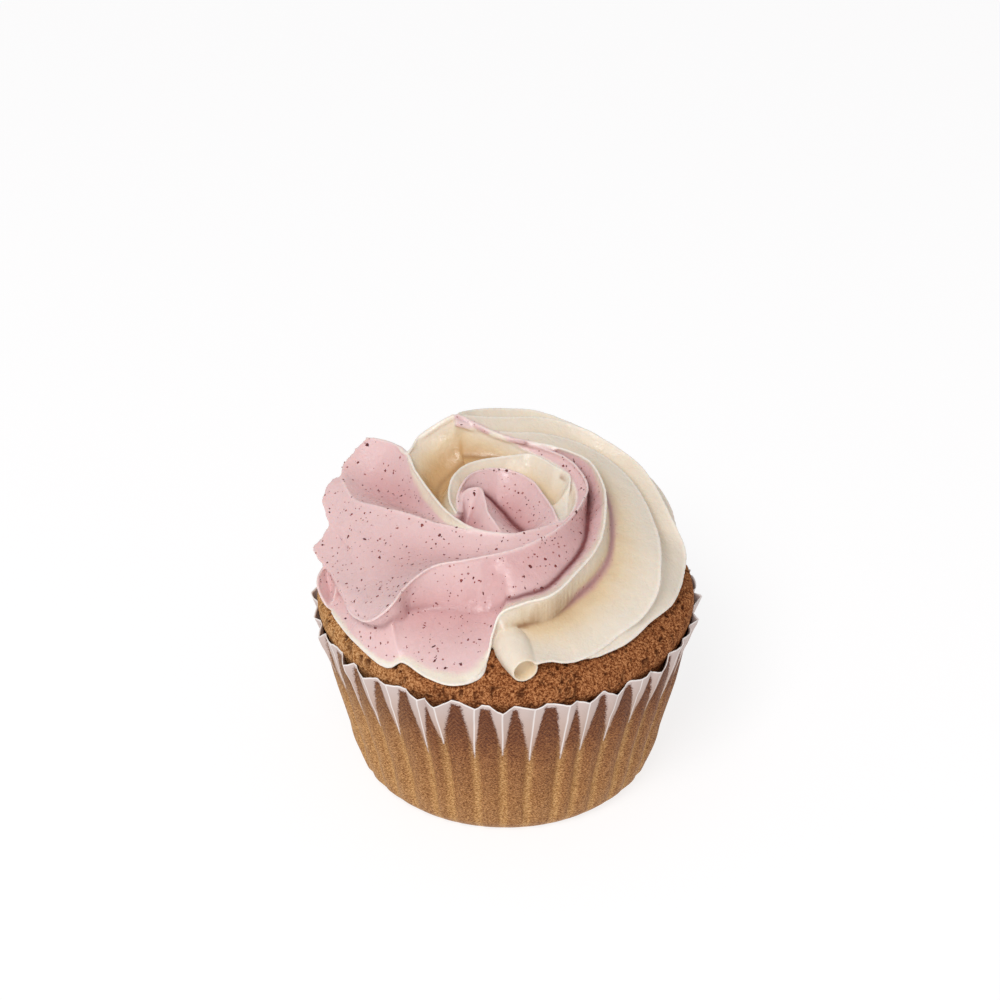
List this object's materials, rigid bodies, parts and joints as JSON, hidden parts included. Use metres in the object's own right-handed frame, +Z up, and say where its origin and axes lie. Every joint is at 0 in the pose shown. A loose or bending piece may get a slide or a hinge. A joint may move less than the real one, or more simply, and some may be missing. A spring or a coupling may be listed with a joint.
{
  "type": "cupcake",
  "caption": "Sponge cupcake in a pleated greaseproof paper case, topped with a piped two-tone buttercream swirl with a curled heart.",
  "frame": {"origin": "centre of the flat base of the paper case, on the surface it stands on", "axes": "+Z up out of the cake, -Y towards the viewer with the peak of the swirl at the back left"},
  "size_m": [0.0705, 0.0704, 0.0576],
  "materials": {
    "sponge_crumb": "baked vanilla sponge, golden brown crumb with fine pores",
    "greaseproof_paper": "thin greaseproof paper, stuck and see-through below, loose and milky at the rim",
    "buttercream": "piped buttercream, berry pink on one side and cream on the other, soft sheen"
  },
  "bodies": {
    "root": {"sponge": "sponge_crumb", "paper_case": "greaseproof_paper", "buttercream_swirl": "buttercream"}
  },
  "joints": []
}
